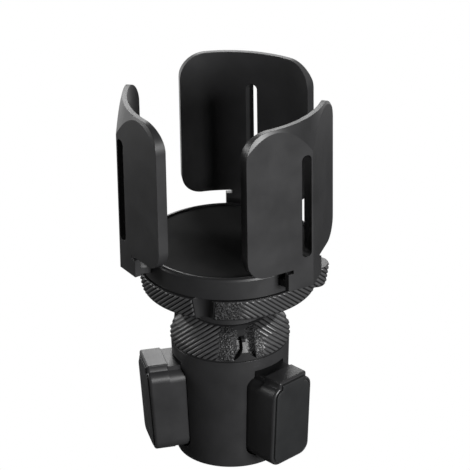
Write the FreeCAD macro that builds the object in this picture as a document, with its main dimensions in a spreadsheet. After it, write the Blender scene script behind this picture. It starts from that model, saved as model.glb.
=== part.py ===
# Expanding car cup holder: a stem that clamps in a console well with three sliding feet,
# and a tray with three sliding jaws that close on a cup.
# -Y faces the user, the rear jaw slides along Y, Z is up from the stem's underside.
import FreeCAD, Part
import math
import os
import re
import Sketcher

Vector = FreeCAD.Vector
UP = Vector(0, 0, 1)
ORIGIN = Vector(0, 0, 0)

SIZES = {
    # stem body
    "stem_top_radius": 31.4,
    "stem_taper": 2.0,
    "stem_foot_radius": "=stem_top_radius - stem_taper",
    "stem_height": 64.0,
    "stem_wall": 2.4,
    "deck_thickness": 3.0,
    "cover_thickness": 2.4,
    "post_radius": 6.5,
    "guide_wall": 1.6,
    "screw_inset": 5.4,
    "screw_circle": "=stem_foot_radius - screw_inset",
    "screw_boss_radius": 3.2,
    "screw_boss_height": 16.0,
    # fits
    "sliding_gap": 0.35,
    "turning_gap": 0.3,
    "journal_gap": 0.05,
    "pin_gap": 0.1,
    "seat_gap": 0.05,
    # feet
    "feet_turn": -3.0,
    "foot_extension": 14.6,
    "foot_reach": "=stem_top_radius + foot_extension",
    "foot_width": 28.0,
    "foot_low": 5.5,
    "foot_headroom": 10.0,
    "foot_tall": "=stem_height - foot_low - foot_headroom",
    "foot_corner": 6.5,
    "foot_lean": 0.06,
    "ridge_width": 20.0,
    "ridge_rise": 3.0,
    "ridge_set_back": 1.6,
    "foot_cap_depth": 11.0,
    "foot_body_depth": 11.0,
    "foot_overlap": 2.0,
    "foot_step": 0.6,
    "foot_wall": 2.6,
    "foot_edge": 1.2,
    "tongue_width": 12.0,
    "tongue_depth": 6.0,
    "foot_travel_in": 13.0,
    "foot_travel_out": 1.0,
    "pad_rim": 1.9,
    "pad_recess": 2.0,
    "pad_proud": 0.9,
    "pad_gap": 0.3,
    "pad_edge": 0.6,
    # follower pins
    "foot_pin_radius": 2.0,
    "foot_pin_inset": 2.3,
    "foot_pin_place": "=foot_reach - foot_cap_depth - foot_body_depth + foot_pin_inset - tongue_depth / 2",
    "jaw_pin_radius": 2.5,
    "jaw_pin_inset": 18.0,
    "jaw_pin_place": "=tray_radius - jaw_pin_inset",
    "pin_seat": 6.0,
    "groove_depth": 3.0,
    "groove_floor_gap": 0.5,
    # lower dial
    "dial_reveal": 0.1,
    "dial_wide_radius": "=stem_top_radius - dial_reveal",
    "dial_brow_draft": 0.2,
    "dial_brow_radius": "=dial_wide_radius - dial_brow_draft",
    "dial_shoulder_set_in": 2.5,
    "dial_shoulder_radius": "=dial_wide_radius - dial_shoulder_set_in",
    "dial_crown_set_in": 5.9,
    "dial_crown_radius": "=dial_wide_radius - dial_crown_set_in",
    "dial_neck_radius": 19.8,
    "dial_brow_rise": 5.0,
    "dial_shoulder_rise": 10.1,
    "dial_crown_rise": 13.8,
    "dial_rise": 15.7,
    "dial_disc": 5.0,
    "dial_wall": 4.2,
    "dial_hub_wall": 2.4,
    "dial_pitch": 8.9,
    # neck
    "collar_rise": 15.9,
    "ring_journal_radius": 14.0,
    "neck_bore_wall": 2.4,
    "key_width": 9.0,
    "key_height": 1.2,
    # upper ring
    "ring_overhang": 1.2,
    "ring_top_radius": "=tray_radius + ring_overhang",
    "ring_taper": 1.8,
    "ring_low_radius": "=ring_top_radius - ring_taper",
    "ring_height": 11.8,
    "ring_disc": 5.0,
    "ring_hub_wall": 2.6,
    "ring_rim_wall": 5.5,
    "ring_pitch": 9.5,
    # tray
    "tray_radius": 46.0,
    "tray_height": 11.7,
    "tray_floor": 4.2,
    "tray_wall": 2.4,
    "tray_edge": 1.5,
    "rail_wall": 1.8,
    "keeper_thickness": 1.4,
    "keeper_screw_inset": 13.0,
    "keeper_screw_circle": "=tray_radius - keeper_screw_inset",
    "keeper_boss_radius": 3.4,
    "mat_thickness": 1.0,
    "mat_gap": 0.4,
    # jaws
    "jaw_slide_width": 20.0,
    "jaw_slide_thickness": 3.6,
    "jaw_slide_inner": 14.0,
    "jaw_travel_in": 3.6,
    "jaw_travel_out": 9.0,
    "jaw_clearance": 8.0,
    "jaw_inner_radius": "=tray_radius + jaw_clearance",
    "jaw_wall": 3.0,
    "jaw_rise": 84.7,
    "wing_stand_off": 1.5,
    "wing_set_in": 2.5,
    "front_wing_plane": "=jaw_inner_radius + wing_stand_off",
    "rear_wing_plane": "=front_wing_plane - wing_set_in",
    "rear_jaw_plane": "=front_wing_plane - wing_set_in / 2",
    "front_wing_turn": 16.0,
    "rear_wing_turn": 26.0,
    "front_wing_length": 39.0,
    "rear_wing_length": 37.0,
    "wing_lift": 4.4,
    "wing_top_corner": 14.0,
    "wing_low_corner": 11.0,
    "wing_depth": 20.0,
    "rim_width": 2.6,
    "rim_bevel_width": 6.0,
    "rim_bevel_fall": 22.0,
    "relief_start": 11.9,
    "relief_width": 3.0,
    "relief_height": 2.0,
    "window_start": 1.0,
    "window_width": 5.6,
    "window_lift": 5.3,
    "window_drop": 18.0,
    # finger notches and thumb lugs
    "notch_count": 3,
    "ring_notch_azimuth": -3.0,
    "ring_notch_top": 8.0,
    "ring_notch_low": 3.5,
    "ring_notch_depth": 3.0,
    "ring_lug_azimuth": 98.0,
    "ring_lug_radius": 7.4,
    "ring_lug_inset": 2.4,
    "ring_lug_place": "=ring_top_radius - ring_lug_inset",
    "dial_notch_azimuth": 28.0,
    "dial_notch_width": 12.0,
    "dial_notch_depth": 3.2,
    "dial_spike_top": 2.2,
    "dial_spike_rise": 10.5,
    "dial_lug_azimuth": -102.0,
    "dial_lug_radius": 6.0,
    "dial_lug_inset": 4.8,
    "dial_lug_place": "=dial_wide_radius - dial_lug_inset",
    # centre bolt and screws
    "bolt_radius": 2.5,
    "bolt_head_radius": 4.3,
    "bolt_head_height": 2.0,
    "nut_gap": 0.02,
    "nut_across": 8.0,
    "nut_height": 4.0,
    "screw_radius": 1.5,
    "screw_head_radius": 2.8,
    "screw_head_height": 1.4,
    "screw_length": 10.0,
    "keeper_screw_length": 5.0,
    "keeper_head_height": 0.9,
}

doc = FreeCAD.newDocument("CupHolder")
sheet = doc.addObject("Spreadsheet::Sheet", "Sizes")
for row, alias in enumerate(SIZES, start=1):
    sheet.set(f"A{row}", alias)
    sheet.setAlias(f"B{row}", alias)
for row, value in enumerate(SIZES.values(), start=1):
    sheet.set(f"B{row}", str(value))
doc.recompute()


def size(alias):
    return float(sheet.get(alias))


def cells(text):
    """Turn bare aliases in an expression into references to the sheet."""
    return re.sub(r"[a-z][a-z_]+", lambda word: "Sizes." + word[0] if word[0] in SIZES else word[0], text)


def bind(thing, prop, text):
    thing.setExpression(prop, cells(text))


def primitive(kind, name, low="0", **props):
    """A Part primitive whose sizes and height above the ground follow the sheet."""
    thing = doc.addObject("Part::" + kind, name)
    for prop, text in props.items():
        bind(thing, prop, text)
    bind(thing, "Placement.Base.z", low)
    return thing


def centred_box(name, length, width, height, low, across="0"):
    """A box about the Z axis, or moved by across along X."""
    thing = primitive("Box", name, low, Length=length, Width=width, Height=height)
    bind(thing, "Placement.Base.x", f"{across} - ({length}) / 2")
    bind(thing, "Placement.Base.y", f"-({width}) / 2")
    return thing


def fuse(name, things):
    thing = doc.addObject("Part::MultiFuse", name)
    thing.Shapes = things
    thing.Refine = True
    return thing


def cut(name, base, tool):
    thing = doc.addObject("Part::Cut", name)
    thing.Base = base
    thing.Tool = tool
    thing.Refine = True
    return thing


def turned(name, outline):
    """A PartDesign body revolved from an XZ sketch; outline holds (radius, height) expressions."""
    body = doc.addObject("PartDesign::Body", name)
    sketch = body.newObject("Sketcher::SketchObject", name + "_outline")
    plane = [item for item in body.Origin.OriginFeatures if item.Role == "XZ_Plane"][0]
    sketch.AttachmentSupport = [(plane, "")]
    sketch.MapMode = "FlatFace"
    count = len(outline)
    start = [Vector(10 * math.cos(2 * math.pi * k / count), 10 * math.sin(2 * math.pi * k / count), 0)
             for k in range(count)]
    for k in range(count):
        sketch.addGeometry(Part.LineSegment(start[k], start[(k + 1) % count]))
    for k in range(count):
        sketch.addConstraint(Sketcher.Constraint("Coincident", k, 2, (k + 1) % count, 1))
    for k, (radius, height) in enumerate(outline):
        for kind, text, value in (("DistanceX", radius, start[k].x), ("DistanceY", height, start[k].y)):
            number = sketch.addConstraint(Sketcher.Constraint(kind, -1, 1, k, 1, value))
            bind(sketch, f"Constraints[{number}]", text)
    doc.recompute()
    turn = body.newObject("PartDesign::Revolution", name + "_turn")
    turn.Profile = sketch
    turn.ReferenceAxis = (sketch, ["V_Axis"])
    turn.Angle = 360
    body.Tip = turn
    doc.recompute()
    return body


def made(name, shape):
    """A Part::Feature for a form that no primitive or sketch feature gives."""
    thing = doc.addObject("Part::Feature", name)
    thing.Shape = shape
    return thing


def azimuth(degrees):
    """Unit vector in plan, counted from -Y (the front) towards +X."""
    return Vector(math.sin(math.radians(degrees)), -math.cos(math.radians(degrees)), 0)


def turn_to(shape, degrees):
    """Turn a shape that was drawn along +X to an azimuth."""
    copy = shape.copy()
    copy.rotate(ORIGIN, UP, degrees - 90)
    return copy


def rounded_plate(width, tall, corner, near, far):
    """A rounded rectangle standing across X, from x = near to x = far, its middle at z = 0."""
    w, t, c = width / 2, tall / 2, corner
    k = c * (1 - math.sqrt(0.5))
    edges = [
        Part.LineSegment(Vector(near, -w + c, -t), Vector(near, w - c, -t)),
        Part.Arc(Vector(near, w - c, -t), Vector(near, w - k, -t + k), Vector(near, w, -t + c)),
        Part.LineSegment(Vector(near, w, -t + c), Vector(near, w, t - c)),
        Part.Arc(Vector(near, w, t - c), Vector(near, w - k, t - k), Vector(near, w - c, t)),
        Part.LineSegment(Vector(near, w - c, t), Vector(near, -w + c, t)),
        Part.Arc(Vector(near, -w + c, t), Vector(near, -w + k, t - k), Vector(near, -w, t - c)),
        Part.LineSegment(Vector(near, -w, t - c), Vector(near, -w, -t + c)),
        Part.Arc(Vector(near, -w, -t + c), Vector(near, -w + k, -t + k), Vector(near, -w + c, -t)),
    ]
    wire = Part.Wire([edge.toShape() for edge in edges])
    return Part.Face(wire).extrude(Vector(far - near, 0, 0))


def spiral_groove(start_degrees, pin_place, pitch, travel_in, travel_out, pin_radius, low, depth):
    """A slot along an Archimedean spiral: its radius falls by pitch for each radian of angle."""
    half = pin_radius + size("pin_gap")
    spare = 0.03
    first = -travel_out / pitch - spare
    last = travel_in / pitch + spare
    steps = 12
    sides = ([], [])
    centres = []
    for k in range(steps + 1):
        turn = first + (last - first) * k / steps
        radius = pin_place - pitch * turn
        angle = math.radians(start_degrees) + turn
        out = Vector(math.cos(angle), math.sin(angle), 0)
        round_about = Vector(-math.sin(angle), math.cos(angle), 0)
        along = (round_about * radius - out * pitch).normalize()
        across = Vector(along.y, -along.x, 0)
        centre = out * radius + UP * low
        centres.append((centre, along))
        sides[0].append(centre + across * half)
        sides[1].append(centre - across * half)
    outer, inner = Part.BSplineCurve(), Part.BSplineCurve()
    outer.interpolate(sides[0])
    inner.interpolate(sides[1])
    near_end = centres[0][0] - centres[0][1] * half
    far_end = centres[-1][0] + centres[-1][1] * half
    wire = Part.Wire([
        outer.toShape(),
        Part.Arc(sides[0][-1], far_end, sides[1][-1]).toShape(),
        inner.toShape(),
        Part.Arc(sides[1][0], near_end, sides[0][0]).toShape(),
    ])
    return Part.Face(wire).extrude(UP * depth)


def radial_slot(inner, outer, half, low, tall):
    """A round-ended slot along X, cut from z = low upwards."""
    middle = Part.makeBox(outer - inner, 2 * half, tall, Vector(inner, -half, low))
    ends = [Part.makeCylinder(half, tall, Vector(x, 0, low)) for x in (inner, outer)]
    return middle.fuse(ends).removeSplitter()


def notch_tool(azimuth_degrees, top_width, low_width, wall_low, wall_high, low, high, depth):
    """A round-floored wedge cut into a conical rim, wider at one end."""
    sections = []
    for z, width, radius in ((low, low_width, wall_low), (high, top_width, wall_high)):
        a = Vector(radius + 2 * depth, -width * 0.9, z)
        b = Vector(radius - depth, 0, z)
        c = Vector(radius + 2 * depth, width * 0.9, z)
        arc = Part.Arc(a, b, c).toShape()
        sections.append(Part.Wire([arc, Part.LineSegment(c, a).toShape()]))
    return turn_to(Part.makeLoft(sections, True, True), azimuth_degrees)


# heights worked out from the stack
stem_height = size("stem_height")
dial_low = stem_height + size("turning_gap")
collar_low = dial_low + size("dial_rise") + size("turning_gap")
collar_high = collar_low + size("collar_rise")
ring_low = collar_high + size("turning_gap")
ring_high = ring_low + size("ring_height")
tray_low = ring_high + size("turning_gap")
slide_low = tray_low + size("tray_floor") + size("turning_gap")
keeper_low = slide_low + size("jaw_slide_thickness") + size("turning_gap")
tray_top = tray_low + size("tray_height")
wing_low = tray_top + size("wing_lift")
jaw_top = tray_top + size("jaw_rise")

DIAL_LOW = "stem_height + turning_gap"
COLLAR_LOW = f"{DIAL_LOW} + dial_rise + turning_gap"
COLLAR_HIGH = f"{COLLAR_LOW} + collar_rise"
RING_LOW = f"{COLLAR_HIGH} + turning_gap"
RING_HIGH = f"{RING_LOW} + ring_height"
TRAY_LOW = f"{RING_HIGH} + turning_gap"
FLOOR_TOP = f"{TRAY_LOW} + tray_floor"
SLIDE_LOW = f"{FLOOR_TOP} + turning_gap"
KEEPER_LOW = f"{SLIDE_LOW} + jaw_slide_thickness + turning_gap"
TRAY_TOP = f"{TRAY_LOW} + tray_height"

THIRD = 360 / 3
JAW_AZIMUTHS = {"left": -THIRD / 2, "right": THIRD / 2, "rear": THIRD * 1.5}
KEEPER_AZIMUTHS = (0, THIRD, 2 * THIRD)
FOOT_AZIMUTHS = [size("feet_turn") + place for place in JAW_AZIMUTHS.values()]
SCREW_AZIMUTHS = [size("feet_turn") + place for place in KEEPER_AZIMUTHS]
foot_pin_place = size("foot_pin_place")
foot_middle = size("foot_low") + size("foot_tall") / 2
parts = {}


def ridge(near, far, gap):
    """The ridge along the top of a foot, drawn about the foot's middle height."""
    width = size("ridge_width") + 2 * gap
    return Part.makeBox(far - near, width, size("foot_tall") / 2 + size("ridge_rise") + gap,
                        Vector(near, -width / 2, 0))


def foot_window():
    """The opening that a foot's cap passes through, drawn along +X."""
    gap = size("sliding_gap")
    near, far = size("stem_foot_radius") / 2, size("stem_top_radius") + gap
    tool = rounded_plate(size("foot_width") + 2 * gap, size("foot_tall") + 2 * gap, size("foot_corner") + gap,
                         near, far).fuse(ridge(near, far, gap))
    tool.translate(UP * foot_middle)
    return tool


def stem_body():
    outline = [
        ("bolt_radius + pin_gap", "cover_thickness + nut_height"),
        ("post_radius", "cover_thickness + nut_height"),
        ("post_radius", "stem_height - deck_thickness"),
        ("stem_top_radius - stem_wall", "stem_height - deck_thickness"),
        ("stem_foot_radius - stem_wall", "cover_thickness"),
        ("stem_foot_radius - stem_wall / 2", "cover_thickness"),
        ("stem_foot_radius - stem_wall / 2", "0"),
        ("stem_foot_radius", "0"),
        ("stem_top_radius", "stem_height"),
        ("bolt_radius + pin_gap", "stem_height"),
    ]
    shell = turned("stem_shell", outline)
    low, high = size("cover_thickness"), stem_height - size("deck_thickness")
    inside = Part.makeCone(size("stem_foot_radius") - size("stem_wall") / 2,
                           size("stem_top_radius") - size("stem_wall") / 2, high - low, Vector(0, 0, low))
    walls = []
    near = size("foot_width") / 2 + size("sliding_gap")
    for place in FOOT_AZIMUTHS:
        for side in (-1, 1):
            y = near if side > 0 else -near - size("guide_wall")
            wall = Part.makeBox(size("stem_top_radius"), size("guide_wall"), high - low,
                                Vector(near, y, low))
            walls.append(turn_to(wall, place).common(inside))
    for place in SCREW_AZIMUTHS:
        seat = azimuth(place) * size("screw_circle") + UP * low
        boss = Part.makeCylinder(size("screw_boss_radius"), size("screw_boss_height"), seat)
        walls.append(boss.common(inside))
    ribs = made("stem_ribs", Part.makeCompound(walls))
    whole = fuse("stem_whole", [shell, ribs])
    cuts = [turn_to(foot_window(), place) for place in FOOT_AZIMUTHS]
    half = size("foot_pin_radius") + size("sliding_gap")
    slot = radial_slot(foot_pin_place - size("foot_travel_in"), foot_pin_place + size("foot_travel_out"), half,
                       high, size("deck_thickness"))
    cuts += [turn_to(slot, place) for place in FOOT_AZIMUTHS]
    for place in SCREW_AZIMUTHS:
        seat = azimuth(place) * size("screw_circle") + UP * low
        cuts.append(Part.makeCylinder(size("screw_radius"), size("screw_length"), seat))
    key = size("key_width") + 2 * size("seat_gap")
    cuts.append(Part.makeBox(key, key, size("key_height"),
                             Vector(-key / 2, -key / 2, stem_height - size("key_height"))))
    tools = made("stem_cuts", Part.makeCompound(cuts))
    parts["stem_body"] = cut("stem_body", whole, tools)


def bottom_cover():
    disc = turned("cover_disc", [
        ("0", "0"),
        ("stem_foot_radius - stem_wall / 2 - seat_gap", "0"),
        ("stem_foot_radius - stem_wall / 2 - seat_gap", "cover_thickness"),
        ("0", "cover_thickness"),
    ])
    holes = []
    for place in SCREW_AZIMUTHS:
        seat = azimuth(place) * size("screw_circle")
        holes.append(Part.makeCylinder(size("screw_radius") + size("pin_gap"), size("cover_thickness"), seat))
        holes.append(Part.makeCylinder(size("screw_head_radius") + size("pin_gap"),
                                       size("screw_head_height") + size("turning_gap"), seat))
    parts["bottom_cover"] = cut("bottom_cover", disc, made("cover_holes", Part.makeCompound(holes)))


def screw(head_radius, head_height, length, seat, up):
    """A pan-headed screw whose head starts at seat and whose shank points along up."""
    head = Part.makeCylinder(head_radius, head_height, seat, up)
    shank = Part.makeCylinder(size("screw_radius"), length, seat + up * head_height, up)
    drive = Part.makeCylinder(head_radius * 0.4, head_height * 0.6, seat, up, 360)
    return head.fuse(shank).cut(drive).removeSplitter()


def base_screws():
    low = size("turning_gap")
    length = size("screw_length") + size("cover_thickness") - size("screw_head_height") - low - 1
    group = [screw(size("screw_head_radius"), size("screw_head_height"), length,
                   azimuth(place) * size("screw_circle") + UP * low, UP) for place in SCREW_AZIMUTHS]
    parts["base_screws"] = made("base_screws", Part.makeCompound(group))


def leaned(shape):
    """Lean a shape outwards with height about z = 0, as a foot's cap does."""
    lean = FreeCAD.Matrix()
    lean.A13 = size("foot_lean")
    return shape.transformGeometry(lean)


def foot_shape():
    """A foot drawn along +X in the extended pose, hollow from its inner end."""
    reach, step, wall = size("foot_reach"), size("foot_step"), size("foot_wall")
    cap_back = reach - size("foot_cap_depth")
    body_back = cap_back - size("foot_body_depth")
    width, tall, corner = size("foot_width"), size("foot_tall"), size("foot_corner")
    cap = rounded_plate(width, tall, corner, cap_back, reach)
    front = [edge for edge in cap.Edges if edge.BoundBox.XMin > reach - 0.01]
    cap = leaned(cap.makeFillet(size("foot_edge"), front))
    body = rounded_plate(width - step, tall - 2 * step, corner, body_back, cap_back + size("foot_overlap"))
    recess = leaned(rounded_plate(width - 2 * size("pad_rim"), tall - 2 * size("pad_rim"),
                                  corner - size("pad_rim"), reach - size("pad_recess"), reach))
    hollow = rounded_plate(width - step - 2 * wall, tall - 2 * step - 2 * wall, corner - wall,
                           body_back, cap_back + size("foot_overlap"))
    high = stem_height - size("deck_thickness") - size("turning_gap") - foot_middle
    root = tall / 2 - step - wall
    tongue = Part.makeBox(size("tongue_depth"), size("tongue_width"), high - root,
                          Vector(foot_pin_place - size("tongue_depth") / 2, -size("tongue_width") / 2, root))
    crest = ridge(body_back, reach - size("ridge_set_back"), 0)
    shape = cap.fuse([body, crest]).cut(Part.makeCompound([recess, hollow])).fuse(tongue)
    pin_low = high - size("pin_seat")
    shape = shape.cut(Part.makeCylinder(size("foot_pin_radius"), size("pin_seat"),
                                        Vector(foot_pin_place, 0, pin_low)))
    shape = shape.removeSplitter()
    shape.translate(UP * foot_middle)
    return shape


def foot_pad_shape():
    """The rubber pad in the foot's recess."""
    reach = size("foot_reach")
    inset = size("pad_rim") + size("pad_gap")
    pad = rounded_plate(size("foot_width") - 2 * inset, size("foot_tall") - 2 * inset,
                        size("foot_corner") - inset, reach - size("pad_recess"), reach + size("pad_proud"))
    front = [edge for edge in pad.Edges if edge.BoundBox.XMin > reach + size("pad_proud") - 0.01]
    pad = leaned(pad.makeFillet(size("pad_edge"), front))
    pad.translate(UP * foot_middle)
    return pad


def feet():
    foot, pad = foot_shape(), foot_pad_shape()
    pin_low = stem_height - size("deck_thickness") - size("turning_gap") - size("pin_seat")
    pin_high = dial_low + size("groove_depth") - size("groove_floor_gap")
    pin = Part.makeCylinder(size("foot_pin_radius"), pin_high - pin_low, Vector(foot_pin_place, 0, pin_low))
    for number, place in enumerate(FOOT_AZIMUTHS, start=1):
        parts[f"foot_{number}"] = made(f"foot_{number}", turn_to(foot, place))
        parts[f"foot_pad_{number}"] = made(f"foot_pad_{number}", turn_to(pad, place))
        parts[f"foot_pin_{number}"] = made(f"foot_pin_{number}", turn_to(pin, place))


def dial_notch():
    """A gap in the dial's skin along +X that leaves a spike flaring down to the rim."""
    depth, half = size("dial_notch_depth"), size("dial_notch_width") / 2
    low, high = dial_low + size("dial_wall") / 4, dial_low + size("dial_rise")
    levels = [(size("dial_wide_radius") - depth, low)]
    levels += [(size(f"dial_{name}_radius") - depth, dial_low + size(f"dial_{name}_rise"))
               for name in ("brow", "shoulder", "crown")]
    levels.append((size("dial_neck_radius") - depth, high + depth))
    outer = 2 * size("dial_wide_radius")
    corners = [Vector(radius, -half, z) for radius, z in levels]
    corners += [Vector(outer, -half, high + depth), Vector(outer, -half, low)]
    gap = Part.Face(Part.makePolygon(corners + corners[:1])).extrude(Vector(0, 2 * half, 0))
    top, rise = size("dial_spike_top") / 2, low + size("dial_spike_rise")
    flanks = []
    for side in (-1, 1):
        curve = Part.BSplineCurve()
        curve.interpolate([Vector(0, side * half, low), Vector(0, side * (top + half * 0.18), low + 3.5),
                           Vector(0, side * top, rise)])
        flanks.append(curve.toShape())
    foot = Part.LineSegment(Vector(0, -half, low), Vector(0, half, low)).toShape()
    cap = Part.LineSegment(Vector(0, -top, rise), Vector(0, top, rise)).toShape()
    spike = Part.Face(Part.Wire([foot, flanks[1], cap, flanks[0]])).extrude(Vector(outer, 0, 0))
    return gap.cut(spike)


def lower_dial():
    outline = [
        ("post_radius + journal_gap", DIAL_LOW),
        ("dial_wide_radius", DIAL_LOW),
        ("dial_brow_radius", f"{DIAL_LOW} + dial_brow_rise"),
        ("dial_shoulder_radius", f"{DIAL_LOW} + dial_shoulder_rise"),
        ("dial_crown_radius", f"{DIAL_LOW} + dial_crown_rise"),
        ("dial_neck_radius", f"{DIAL_LOW} + dial_rise"),
        ("dial_neck_radius - dial_wall", f"{DIAL_LOW} + dial_rise"),
        ("dial_shoulder_radius - 2 * dial_wall", f"{DIAL_LOW} + dial_shoulder_rise"),
        ("dial_shoulder_radius - 2 * dial_wall", f"{DIAL_LOW} + dial_disc"),
        ("post_radius + dial_hub_wall", f"{DIAL_LOW} + dial_disc"),
        ("post_radius + dial_hub_wall", f"{DIAL_LOW} + dial_rise"),
        ("post_radius + journal_gap", f"{DIAL_LOW} + dial_rise"),
    ]
    blank = turned("dial_blank", outline)
    lug = Part.makeCylinder(size("dial_lug_radius"), size("dial_crown_rise"),
                            azimuth(size("dial_lug_azimuth")) * size("dial_lug_place") + UP * dial_low)
    inside = Part.makeCylinder(size("dial_shoulder_radius") - 2 * size("dial_wall"), size("dial_rise"),
                               UP * dial_low)
    whole = fuse("dial_whole", [blank, made("dial_lug", lug.cut(inside))])
    notch = dial_notch()
    cuts = []
    for k in range(int(size("notch_count"))):
        cuts.append(turn_to(notch, size("dial_notch_azimuth") + 360 * k / size("notch_count")))
    for place in FOOT_AZIMUTHS:
        cuts.append(spiral_groove(place - 90, foot_pin_place, size("dial_pitch"), size("foot_travel_in"),
                                  size("foot_travel_out"), size("foot_pin_radius"), dial_low,
                                  size("groove_depth")))
    parts["lower_dial"] = cut("lower_dial", whole, made("dial_cuts", Part.makeCompound(cuts)))


def neck():
    outline = [
        ("bolt_radius + pin_gap", "stem_height"),
        ("post_radius", "stem_height"),
        ("post_radius", COLLAR_LOW),
        ("dial_neck_radius", COLLAR_LOW),
        ("dial_neck_radius", COLLAR_HIGH),
        ("ring_journal_radius", COLLAR_HIGH),
        ("ring_journal_radius", RING_HIGH),
        ("ring_journal_radius - neck_bore_wall", RING_HIGH),
        ("ring_journal_radius - neck_bore_wall", f"{COLLAR_LOW} + neck_bore_wall"),
        ("post_radius", f"{COLLAR_LOW} + neck_bore_wall"),
        ("post_radius", TRAY_LOW),
        ("bolt_radius + pin_gap", TRAY_LOW),
    ]
    stalk = turned("neck_stalk", outline)
    low_key = centred_box("neck_low_key", "key_width", "key_width", "key_height", "stem_height - key_height")
    top_key = centred_box("neck_top_key", "key_width", "key_width", "key_height", TRAY_LOW)
    bore = primitive("Cylinder", "neck_bore", "stem_height - key_height", Radius="bolt_radius + pin_gap",
                     Height=f"{TRAY_LOW} + 2 * key_height")
    parts["neck"] = cut("neck", fuse("neck_keyed", [stalk, low_key, top_key]), bore)


def upper_ring():
    outline = [
        ("ring_journal_radius + journal_gap", RING_LOW),
        ("ring_journal_radius + ring_hub_wall", RING_LOW),
        ("ring_journal_radius + ring_hub_wall", f"{RING_HIGH} - ring_disc"),
        ("ring_low_radius - ring_rim_wall", f"{RING_HIGH} - ring_disc"),
        ("ring_low_radius - ring_rim_wall", RING_LOW),
        ("ring_low_radius", RING_LOW),
        ("ring_top_radius", RING_HIGH),
        ("ring_journal_radius + journal_gap", RING_HIGH),
    ]
    blank = turned("ring_blank", outline)
    lug = Part.makeCone(size("ring_lug_radius") - size("ring_top_radius") + size("ring_low_radius"),
                        size("ring_lug_radius"), size("ring_height"),
                        azimuth(size("ring_lug_azimuth")) * size("ring_lug_place") + UP * ring_low)
    inside = Part.makeCylinder(size("ring_low_radius") - size("ring_rim_wall"), size("ring_height"),
                               UP * ring_low)
    whole = fuse("ring_whole", [blank, made("ring_lug", lug.cut(inside))])
    cuts = []
    for k in range(int(size("notch_count"))):
        place = size("ring_notch_azimuth") + 360 * k / size("notch_count")
        cuts.append(notch_tool(place, size("ring_notch_top"), size("ring_notch_low"), size("ring_low_radius"),
                               size("ring_top_radius"), ring_low, ring_high, size("ring_notch_depth")))
    for place in JAW_AZIMUTHS.values():
        cuts.append(spiral_groove(place - 90, size("jaw_pin_place"), size("ring_pitch"), size("jaw_travel_in"),
                                  size("jaw_travel_out"), size("jaw_pin_radius"),
                                  ring_high - size("groove_depth"), size("groove_depth")))
    parts["upper_ring"] = cut("upper_ring", whole, made("ring_cuts", Part.makeCompound(cuts)))


def tray():
    outline = [
        ("bolt_radius + pin_gap", TRAY_LOW),
        ("tray_radius", TRAY_LOW),
        ("tray_radius", f"{TRAY_TOP} - tray_edge"),
        ("tray_radius - tray_edge / 3", f"{TRAY_TOP} - tray_edge / 3"),
        ("tray_radius - tray_edge", TRAY_TOP),
        ("tray_radius - tray_wall", TRAY_TOP),
        ("tray_radius - tray_wall", FLOOR_TOP),
        ("bolt_radius + pin_gap", FLOOR_TOP),
    ]
    bowl = turned("tray_bowl", outline)
    floor_top = tray_low + size("tray_floor")
    inside = Part.makeCylinder(size("tray_radius") - size("tray_wall") / 2, keeper_low - floor_top,
                               UP * floor_top)
    rail_y = size("jaw_slide_width") / 2 + size("sliding_gap")
    near, long = size("jaw_slide_inner"), size("tray_radius")
    standing, cuts = [], []
    place, half = size("jaw_pin_place"), size("jaw_pin_radius") + size("sliding_gap")
    slot = radial_slot(place - size("jaw_travel_in"), place + size("jaw_travel_out"), half, tray_low,
                       size("tray_floor"))
    gate = Part.makeBox(2 * long, 2 * rail_y, keeper_low - floor_top, Vector(near, -rail_y, floor_top))
    for side in JAW_AZIMUTHS.values():
        for y in (rail_y, -rail_y - size("rail_wall")):
            rail = Part.makeBox(long, size("rail_wall"), keeper_low - floor_top, Vector(near, y, floor_top))
            standing.append(turn_to(rail, side).common(inside))
        cuts += [turn_to(slot, side), turn_to(gate, side)]
    for side in KEEPER_AZIMUTHS:
        seat = azimuth(side) * size("keeper_screw_circle") + UP * floor_top
        standing.append(Part.makeCylinder(size("keeper_boss_radius"), keeper_low - floor_top, seat))
        cuts.append(Part.makeCylinder(size("screw_radius"), keeper_low - floor_top, seat))
    whole = fuse("tray_whole", [bowl, made("tray_rails", Part.makeCompound(standing))])
    cuts.append(Part.makeCylinder(size("bolt_head_radius") + size("pin_gap"),
                                  size("bolt_head_height"), UP * (floor_top - size("bolt_head_height"))))
    key = size("key_width") + 2 * size("seat_gap")
    cuts.append(Part.makeBox(key, key, size("key_height") + size("seat_gap"),
                             Vector(-key / 2, -key / 2, tray_low)))
    parts["tray"] = cut("tray", whole, made("tray_cuts", Part.makeCompound(cuts)))


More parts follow.
